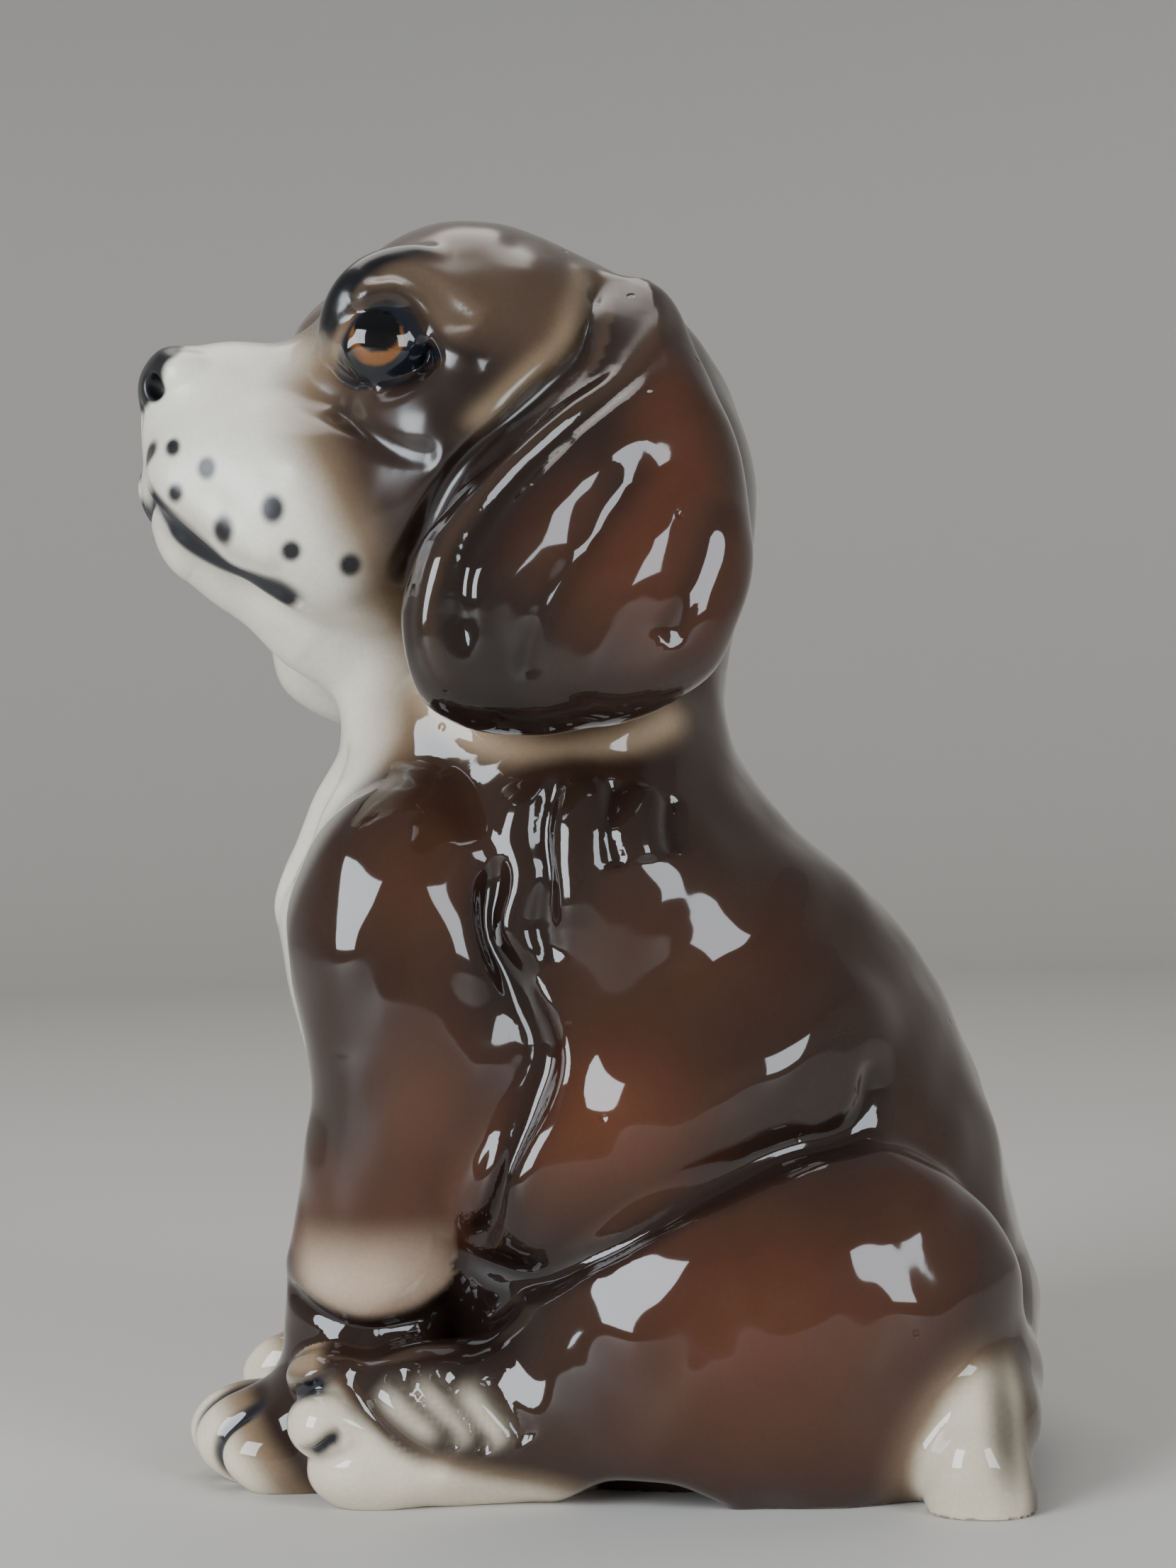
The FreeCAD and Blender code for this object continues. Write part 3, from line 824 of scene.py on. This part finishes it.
def paint_head(h, colour):
    m = folded(h, 0.5)
    side, y, z = np.abs(h[:, 0]), h[:, 1], h[:, 2]
    lay(colour, UMBER, ramp(z, 116, 130))
    lay(colour, HEAD_BROWN, 0.9 * ramp(z, 158, 192) * ramp(y, 14, -10))
    lay(colour, DARK_PAINT_AND_SHADE, 0.75 * spot(m, (-27, 172), (11, 12), 0.6))
    behind_edge = y - profile(z, CREAM_EDGE)
    neck = ramp(z, NECK_BASE, 122)
    lay(colour, TAN, 0.7 * ramp(behind_edge, 11, 0) * neck)
    lay(colour, CREAM, ramp(behind_edge, 5, -5) * neck)
    for mark, (centre, size) in zip(SPOT_MARKS, SPOTS):
        away = (m - vec(mark.path[0, 0], *centre)) / vec(3, *size)
        lay(colour, BLACK, ramp(np.linalg.norm(away, axis=1), 1.4, 0.6))
    lay(colour, TAN, 0.45 * along_line(m, LID_FOLD, 3.0))
    lay(colour, BLACK, 1.5 * along_line(m, BROW, 3.0, 0.25) * ramp(side, 9, 14))
    near_eye = side > NEAR_EYE
    lids = outline_distance(y, z, EYE_OUTLINE)
    lay(colour, BLUE_BLACK, ramp(lids, 0.5, -0.2) * near_eye)
    from_iris = np.hypot(y - IRIS_CENTRE[0], z - IRIS_CENTRE[1]) - IRIS_RADIUS
    from_pupil = np.hypot(y - PUPIL_CENTRE[0], z - PUPIL_CENTRE[1]) - PUPIL_RADIUS
    ring = ramp(from_iris, 0.25, -0.25) * ramp(from_pupil, -0.25, 0.25) * ramp(lids, -0.2, -0.7)
    lay(colour, IRIS, ring * near_eye)
    lay(colour, PUPIL, ramp(from_pupil, 0.2, -0.2) * ramp(lids, 0, -0.5) * near_eye)
    lay(colour, BLACK, along_line(m, LOWER_LID, 1.1))
    lay(colour, DARK_PAINT_AND_SHADE, 0.9 * along_line(m, UPPER_LID, 1.3))
    lay(colour, UMBER, 0.5 * along_line(m, MOUTH, 3.6, 0.3) * ramp(y, -62, -55))
    lay(colour, BLUE_BLACK, 1.6 * along_line(m, MOUTH, 1.9, 0.1))
    for line in MUZZLE_LINES:
        lay(colour, BLUE_BLACK, 1.4 * along_line(m, line, 1.4, 0.02))
    behind = y - NOSE_TIP[0] - NOSE_SLANT * (z - NOSE_TIP[1])
    tip = ramp(behind, 0.8, -0.6) * ramp(z, 175.5, 177.5) * ramp(z, 190, 186.5)
    lay(colour, BLACK, tip * ramp(side, 9, 7.5))
    nostril = ellipsoid(m, NOSTRIL, (2.6, 3.4, 2.4), NOSTRIL_TILT)
    lay(colour, BLACK, ramp(nostril, 0.8, 0))
    # painted shade: the crown crease, cheek fold and lid fold are darkened
    for line, amount in ((CROWN_CREASE, 0.85), (CHEEK_FOLD, 0.5), (LID_FOLD, 0.5)):
        lay(colour, DARK_PAINT_AND_SHADE, amount * along_line(m, line, 2.6))
    return lay(colour, TAN, 0.6 * along_line(m, CROWN_RIDGE, 2.0))


def paint_ear(m, colour, seen_side):
    x, y, z = m.T
    lay(colour, UMBER, 1)
    for centre, size, amount in CHESTNUT_HEAD:
        lay(colour, CHESTNUT, amount * spot(m, centre, size, 0.9))
    lay(colour, DARK_PAINT_AND_SHADE, 0.85 * ramp(y - profile(z, EAR_SHADE_EDGE), 9, -9))
    # painted shade: the ear's creases are darkened
    for line in EAR_LINES:
        if line.depth > 0:
            lay(colour, DARK_PAINT_AND_SHADE, 0.5 * along_line(m, line, 3.0))
    lay(colour, HEAD_BROWN, 0.5 * along_line(m, EAR_RIM, 1.4))
    inside = ramp(x, 43, 38) * ramp(z, 150, 140)
    return lay(colour, CREAM, 0.85 * inside * (seen_side < 0))


def paint_body(p, colour):
    for side in (1, -1):
        half = p[:, 0] * side > 0
        q = side_of(p[half], side)
        c = colour[half]
        for centre, size, amount in CHESTNUT_BODY:
            lay(c, CHESTNUT, amount * spot(q, centre, size, 0.9))
        # painted shade: dark bands in the armpit and haunch creases
        for line in (ARMPIT, HAUNCH_CREASE):
            lay(c, DARK_PAINT_AND_SHADE, 0.8 * along_line(q, line, 4.0))
        # darker strokes along the tufts: painted shade in their creases, with a lighter darkening on their
        # ridges
        for line in TUFT_LINES:
            lay(c, DARK_PAINT_AND_SHADE, (0.7 if line.depth > 0 else 0.35) * along_line(q, line, 3.0))
        # painted shade in the hollow between the foreleg and the hind leg
        lay(c, DARK_PAINT_AND_SHADE, spot(q, (-15, 30), (13, 10), 0.5) * ramp(q[:, 0], 51, 44))
        colour[half] = c
    x, y, z = p.T
    chest = ramp(y - profile(z, CHEST_EDGE), 4, -3) + ramp(np.abs(x), 17, 11) * ramp(y, -20, -32)
    return lay(colour, CREAM, np.clip(chest, 0, 1) * ramp(z, 20, 45))


def paint_foreleg(q, colour):
    y, z = q[:, 1], q[:, 2]
    patch = ramp(z, 46, 34) * ramp(z - profile(y, WRIST_EDGE), 0, 2.5)
    patch = patch * ramp(y, -20, -27) * ramp(y, -50.5, -45.5)
    lay(colour, CHESTNUT, 0.5 * ramp(z, 62, 44) * ramp(z, 36, 42))
    lay(colour, WRIST, 0.95 * patch)
    # painted shade in the wrist crease
    lay(colour, DARK_PAINT_AND_SHADE, 0.85 * along_line(q, WRIST_CREASE, 2.6))
    low = ramp(z, 28, 25)
    lay(colour, DARK_PAINT_AND_SHADE, 0.4 * low)
    fade = y + 0.75 * z
    lay(colour, TAN, 0.7 * low * ramp(fade, -44, -50))
    lay(colour, TOE_CREAM, low * ramp(fade, -49, -56))
    return paint_toes(q, colour, FORE_TOES)


def paint_toes(q, colour, toes):
    """Broad soft black strokes where two toes meet."""
    gaps = np.sort(np.column_stack([ellipsoid(q, c, r) for c, r in toes]), axis=1)
    stroke = ramp(gaps[:, 1] - gaps[:, 0], 3.6, 0.8) * ramp(gaps[:, 1], 3.2, 1.6)
    return lay(colour, BLUE_BLACK, 0.97 * stroke)


def paint_hind_leg(q, colour):
    """Cream toes and sole under a brown instep that is crossed by pale slanting ridges."""
    y, z = q[:, 1], q[:, 2]
    reach = ramp(y, -12, -24) * ramp(z, 27, 23)
    lay(colour, DARK_PAINT_AND_SHADE, 0.5 * reach)
    over_sole = z - profile(y, SOLE_EDGE)
    lay(colour, TAN, 0.6 * ramp(over_sole, 4.5, 0) * ramp(y, 10, -8))
    lay(colour, TOE_CREAM, ramp(over_sole, 2, -1.5) * ramp(y, 6, -14))
    for line in FOOT_RIDGES:
        lay(colour, TOE_CREAM, 0.85 * along_line(q, line, 2.1, 0.35))
    for line, amount in zip(FOOT_VALLEYS, (0.95, 0.75, 0.7, 0.5)):
        lay(colour, UMBER, amount * along_line(q, line, 1.6, 0.3))
    top = ramp(z, 20, 22) * ramp(y, -33, -37)
    lay(colour, TAN, 0.9 * top * ramp(y, -42, -46))
    lay(colour, UMBER, 0.9 * top * ramp(y, -46, -42))
    for line, width in zip(TOE_CREASES, (2.1, 1.5)):
        lay(colour, BLUE_BLACK, 1.15 * along_line(q, line, width, 0.3))
    return colour


def paint_tail(p, colour, groups):
    """Cream tip that fades into the haunch, with a brown groove and a dark edge behind it."""
    x, y, z = p.T
    gap = groups["tail"] - np.minimum(groups["hind_leg_left"], groups["body_shell"])
    tip = ramp(x - 0.5 * z, 30, 46)
    lay(colour, TAN, 0.55 * tip * ramp(gap, 9, 0))
    lay(colour, TOE_CREAM, 0.92 * tip * ramp(gap, 3.5, -2.5) * ramp(z, 31, 16))
    groove = spot(p, (61.5, 14), (2.6, 9), 0.8) * ramp(x, 44, 50)
    return lay(colour, UMBER, 0.8 * groove + 0.9 * ramp(y, 63, 66) * ramp(gap, 4, -1))


def paint(points):
    """Colour of every vertex, and how matt the glaze is there."""
    groups = groups_at(points)
    owner = np.column_stack([groups[name] for name in GROUPS]).argmin(1)
    on_body, on_head = (owner == GROUPS.index(name) for name in ("body_shell", "head_shell"))
    colour = paint_body(points, np.tile(UMBER, (len(points), 1)))
    for number, name in enumerate(GROUPS):
        mine = owner == number
        if name == "head_shell":
            mine = mine | (on_body & (points[:, 2] > NECK_BASE))
        if not mine.any():
            continue
        p = points[mine]
        side = 1 if name.endswith("left") else -1
        if name == "head_shell":
            colour[mine] = paint_head(to_head(p), colour[mine])
        elif name.startswith("ear"):
            colour[mine] = paint_ear(to_head(p) * vec(side, 1, 1), colour[mine], side)
        elif name.startswith("foreleg"):
            colour[mine] = paint_foreleg(leg_space(p, side), colour[mine])
        elif name.startswith("hind"):
            colour[mine] = paint_hind_leg(side_of(p, side), colour[mine])
    colour = paint_tail(points, colour, groups)
    under = (points[:, 2] < 135) & (on_body | on_head)
    colour[under] = lay(colour[under], BAND, 0.95 * along_line(mirrored(points[under]), EAR_BAND, 2.9))
    x, y, z = to_head(points).T
    satin = ramp(y - profile(z, CREAM_EDGE), 4, -6) * ramp(z, NECK_BASE, 124)
    lids = outline_distance(np.where(np.abs(x) > NEAR_EYE, y, 0), z, EYE_OUTLINE)
    satin = np.maximum(satin, HEAD_SATIN * on_head) * ramp(lids, 0, 1.5)
    satin = np.maximum(satin, CROWN_SATIN * ramp(z, 172, 184) * ramp(y, -14, -4))
    return np.clip(colour, 0, 1), satin


# ------------------------ materials
def material(name):
    """A material with its output and its Principled shader."""
    item = bpy.data.materials.new(name)
    item.use_nodes = True
    nodes, links = item.node_tree.nodes, item.node_tree.links
    nodes.clear()
    out = nodes.new("ShaderNodeOutputMaterial")
    skin = nodes.new("ShaderNodeBsdfPrincipled")
    links.new(skin.outputs["BSDF"], out.inputs["Surface"])
    return item, nodes, links, skin


def add(nodes, kind, **constants):
    """A node with its constants; an underscore in a key stands for a space."""
    item = nodes.new(f"ShaderNode{kind}")
    for key, value in constants.items():
        item.inputs[key.replace("_", " ")].default_value = value
    return item


def scaled_sum(nodes, links, source, factor, plus):
    """Math node that gives source * factor + plus."""
    item = nodes.new("ShaderNodeMath")
    item.operation = "MULTIPLY_ADD"
    links.new(source, item.inputs[0])
    item.inputs[1].default_value = factor
    if isinstance(plus, float):
        item.inputs[2].default_value = plus
    else:
        links.new(plus, item.inputs[2])
    return item.outputs[0]


CLOUDS, SPECKS, WAVES, PINHOLES = 45, 1400, 130, 75  # pattern scales, per metre
GLOSS = {"Roughness": (0.09, 0.3), "Coat Roughness": (0.05, 0.38)}  # of glossy and of satin glaze
RELIEF = 0.0006


def glaze(name):
    """Airbrushed underglaze, seen through a clear, slightly wavy, pin-holed glaze."""
    item, nodes, links, skin = material(name)
    place = nodes.new("ShaderNodeTexCoord").outputs["Object"]
    tint = nodes.new("ShaderNodeAttribute")
    tint.attribute_name = "paint"
    matt = nodes.new("ShaderNodeAttribute")
    matt.attribute_name = "satin"

    cloud = add(nodes, "TexNoise", Scale=CLOUDS, Detail=3)
    speck = add(nodes, "TexNoise", Scale=SPECKS, Detail=2)
    wave = add(nodes, "TexNoise", Scale=WAVES, Detail=1)
    holes = add(nodes, "TexVoronoi", Scale=PINHOLES)
    for texture in (cloud, speck, wave, holes):
        links.new(place, texture.inputs["Vector"])
    both = nodes.new("ShaderNodeMath")
    both.operation = "MULTIPLY"
    links.new(scaled_sum(nodes, links, cloud.outputs["Fac"], 0.5, 0.75), both.inputs[0])
    links.new(scaled_sum(nodes, links, speck.outputs["Fac"], 0.22, 0.89), both.inputs[1])
    mix = nodes.new("ShaderNodeVectorMath")
    mix.operation = "SCALE"
    links.new(tint.outputs["Color"], mix.inputs[0])
    links.new(both.outputs[0], mix.inputs["Scale"])
    links.new(mix.outputs[0], skin.inputs["Base Color"])

    for socket, (low, high) in GLOSS.items():
        gloss = add(nodes, "MapRange", To_Min=low, To_Max=high)
        links.new(matt.outputs["Fac"], gloss.inputs["Value"])
        links.new(gloss.outputs[0], skin.inputs[socket])
    skin.inputs["Specular IOR Level"].default_value = 0.1
    skin.inputs["Coat Weight"].default_value = 1.0
    skin.inputs["Coat IOR"].default_value = 1.5

    pit = add(nodes, "MapRange", From_Min=0.02, From_Max=0.06)
    links.new(holes.outputs["Distance"], pit.inputs["Value"])
    relief = add(nodes, "Bump", Strength=0.35, Distance=RELIEF)
    links.new(scaled_sum(nodes, links, wave.outputs["Fac"], 0.6, pit.outputs[0]), relief.inputs["Height"])
    links.new(relief.outputs["Normal"], skin.inputs["Normal"])
    links.new(relief.outputs["Normal"], skin.inputs["Coat Normal"])
    return item


# ------------------------ finer mesh where the detail is
def wants_detail(p):
    """Face, nose, mouth and toes get half the grid's step."""
    h = to_head(p)
    face = (h[:, 1] < -27) & (h[:, 2] > 140) & (h[:, 2] < 207)
    toes = (p[:, 1] < -34) & (p[:, 2] < 30)
    return face | toes


def refine(points, quads, labels):
    """Splits the quads that want detail in four; a neighbour takes the new points into its edges."""
    chosen = wants_detail(points[quads].mean(1))
    base = len(points)
    sides = np.sort(np.stack([quads, np.roll(quads, -1, axis=1)], -1), axis=2).astype(np.int64)
    key = sides[..., 0] * base + sides[..., 1]
    halved = np.unique(key[chosen])
    at = np.minimum(np.searchsorted(halved, key), len(halved) - 1)
    middle = np.where(halved[at] == key, base + at, -1)
    centre = base + len(halved) + np.arange(chosen.sum())
    corner, edge = quads[chosen], middle[chosen]
    fine = np.full((4 * len(corner), 8), -1, dtype=np.int64)
    fine[:, 0::2] = np.vstack([np.column_stack([corner[:, k], edge[:, k], centre, edge[:, k - 1]])
                               for k in range(4)])
    rest = np.empty(((~chosen).sum(), 8), dtype=np.int64)
    rest[:, 0::2], rest[:, 1::2] = quads[~chosen], middle[~chosen]
    ends = np.column_stack([halved // base, halved % base])
    added = np.vstack([points[ends].mean(1), points[corner].mean(1)])
    return (np.vstack([points, settle_on_surface(added)]), np.vstack([fine, rest]),
            np.concatenate([np.tile(labels[chosen], 4), labels[~chosen]]))


# ------------------------ pieces
def open_edges(polygons):
    """Rings of vertices round the openings of a patch, in the order that a cap needs."""
    edges = Counter()
    for polygon in polygons:
        edges.update(zip(polygon, polygon[1:] + polygon[:1]))
    following = {}
    for (a, b), count in edges.items():
        for _ in range(count - edges.get((b, a), 0)):
            following.setdefault(b, []).append(a)
    rings, path, seen = [], [], {}
    while following or path:
        if not path:
            path = [min(following)]
            seen = {path[0]: 0}
        after = following[path[-1]].pop()
        if not following[path[-1]]:
            del following[path[-1]]
        if after in seen:
            at = seen[after]
            rings.append(path[at:])
            for vertex in path[at + 1:]:
                del seen[vertex]
            path = path[:at + 1] if after in following else []
        else:
            seen[after] = len(path)
            path.append(after)
    return rings


def cap(ring, places, first_new):
    """A seat face over an opening: rings that close in on the opening's middle."""
    outline = places[ring]
    even = outline.copy()
    for _ in range(12):
        even = (np.roll(even, 1, axis=0) + even + np.roll(even, -1, axis=0)) / 3
    middle = outline.mean(0)
    added, polygons, outer = [], [], ring
    for share in (0.12, 0.4, 0.7):
        added.append(even * (1 - share) + middle * share)
        inner = list(range(first_new, first_new + len(ring)))
        first_new += len(ring)
        for k in range(len(ring)):
            after = (k + 1) % len(ring)
            polygons.append([outer[k], outer[after], inner[after], inner[k]])
        outer = inner
    added.append(middle[None])
    polygons += [[outer[k], outer[(k + 1) % len(ring)], first_new] for k in range(len(ring))]
    return np.vstack(added), polygons


def place_object(name, data):
    item = bpy.data.objects.new(name, data)
    bpy.context.scene.collection.objects.link(item)
    return item


def read(items, field, kind, width=1):
    """A field of mesh items as one flat array."""
    values = np.empty(len(items) * width, dtype=kind)
    items.foreach_get(field, values)
    return values


def build_piece(name, points, faces, normals, colours, satin):
    """One luted piece: its patch of the skin, closed by seat faces where it is stuck to the others."""
    used, local = np.unique(faces, return_inverse=True)
    if used[0] == -1:
        used, local = used[1:], local - 1
    local = local.reshape(faces.shape)
    skin_polygons = [[v for v in row if v >= 0] for row in local.tolist()]
    places = (points[used] - vec(*DRAWN_CENTRE, 0)) * MM
    shown = len(skin_polygons)
    polygons = list(skin_polygons)
    for ring in open_edges(skin_polygons):
        added, seat = cap(ring, places, len(places))
        places = np.vstack([places, added])
        polygons += seat
    mesh = bpy.data.meshes.new(name)
    mesh.from_pydata(places.tolist(), [], polygons)
    piece = place_object(name, mesh)
    hidden = len(places) - len(used)
    tint = mesh.attributes.new("paint", "FLOAT_COLOR", "POINT")
    rgba = np.ones((len(places), 4), dtype=np.float32)
    rgba[:len(used), :3] = colours[used]
    tint.data.foreach_set("color", rgba.ravel())
    matt = mesh.attributes.new("satin", "FLOAT", "POINT")
    matt.data.foreach_set("value", np.concatenate([satin[used], np.ones(hidden)]).astype(np.float32))
    mesh.polygons.foreach_set("use_smooth", np.ones(len(mesh.polygons), dtype=bool))
    corner = read(mesh.loops, "vertex_index", np.int32)
    start = read(mesh.polygons, "loop_start", np.int32)
    facing = read(mesh.polygons, "normal", np.float32, 3)
    owner = np.searchsorted(start, np.arange(len(corner)), side="right") - 1
    smooth = facing.reshape(-1, 3)[owner]
    on_skin = owner < shown
    smooth[on_skin] = normals[used][corner[on_skin]]
    mesh.normals_split_custom_set(smooth.tolist())
    return piece


points, quads = sculpt()
labels = split(points, quads)
points, faces, labels = refine(points, quads, labels)
normals = outward(points)
colours, satin = paint(points)
skin = glaze("ceramic_glaze")
for number, name in enumerate(GROUPS):
    piece = build_piece(f"{name}_glazed", points, faces[labels == number], normals, colours, satin)
    piece.data.materials.append(skin)
    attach(piece, "root")
    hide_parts(name)


# ------------------------ stage, lights and camera
def flat_material(name, colour, roughness):
    item, _, _, skin = material(name)
    skin.inputs["Base Color"].default_value = (*colour, 1)
    skin.inputs["Roughness"].default_value = roughness
    return item


BACKDROP = (0.60, 0.575, 0.54)


def make_sweep():
    """Plain pale sweep: a round floor that curves up into a wall all round."""
    level, bend, wall, around = 1.2, 0.5, 1.6, 96
    profile_points = [(0.02, 0), (0.4, 0), (level, 0)]
    profile_points += [(level + bend * math.sin(a), bend * (1 - math.cos(a)))
                       for a in (math.radians(d) for d in range(9, 91, 9))]
    profile_points.append((level + bend, wall))
    turns = [math.tau * k / around for k in range(around)]
    corners = [(r * math.cos(t), r * math.sin(t), z) for r, z in profile_points for t in turns]
    faces = [tuple(range(around))]
    for ring in range(len(profile_points) - 1):
        for k in range(around):
            a, b = ring * around + k, ring * around + (k + 1) % around
            faces.append((a, a + around, b + around, b))
    mesh = bpy.data.meshes.new("sweep")
    mesh.from_pydata(corners, [], faces)
    mesh.polygons.foreach_set("use_smooth", [True] * len(mesh.polygons))
    sweep = place_object("sweep", mesh)
    mesh.materials.append(flat_material("pale_sweep", BACKDROP, 0.6))


def softbox(name, place, aim, size, power, colour):
    data = bpy.data.lights.new(name, "AREA")
    data.shape = "RECTANGLE"
    data.size, data.size_y = size
    data.energy = power
    data.color = colour
    lamp = place_object(name, data)
    lamp.location = place
    lamp.rotation_euler = (Vector(aim) - Vector(place)).to_track_quat("-Z", "Y").to_euler()


def make_world():
    world = bpy.data.worlds.new("studio")
    world.use_nodes = True
    world.node_tree.nodes["Background"].inputs["Color"].default_value = (0.80, 0.82, 0.86, 1)
    world.node_tree.nodes["Background"].inputs["Strength"].default_value = 0.22
    bpy.context.scene.world = world


AZIMUTH = math.radians(90)
CAMERA_DISTANCE = 0.500
CAMERA_HEIGHT = 0.113
CAMERA_ROLL = math.radians(1.3)
LENS, SENSOR_WIDTH = 66.4, 36


def make_camera():
    data = bpy.data.cameras.new("view")
    data.lens, data.sensor_width = LENS, SENSOR_WIDTH
    data.clip_start = 0.01
    camera = place_object("view", data)
    side = Vector((math.sin(AZIMUTH), -math.cos(AZIMUTH), 0))
    middle = Vector((-DRAWN_CENTRE[0] * MM, -DRAWN_CENTRE[1] * MM, CAMERA_HEIGHT))
    place = middle + side * CAMERA_DISTANCE
    level = (-side).to_track_quat("-Z", "Y")
    roll = Matrix.Rotation(-CAMERA_ROLL, 4, "Z")
    camera.matrix_world = Matrix.Translation(place) @ level.to_matrix().to_4x4() @ roll
    bpy.context.scene.camera = camera


make_sweep()
make_world()
softbox("window_left", (0.75, -0.85, 0.55), (0, 0, 0.11), (0.55, 0.75), 17, (0.86, 0.93, 1.0))
softbox("window_right", (0.85, 0.75, 0.5), (0, 0, 0.08), (0.4, 0.6), 7, (0.86, 0.93, 1.0))
softbox("overhead", (-0.45, -0.1, 1.2), (0, 0, 0.1), (0.8, 0.8), 5, (1.0, 0.96, 0.91))
make_camera()
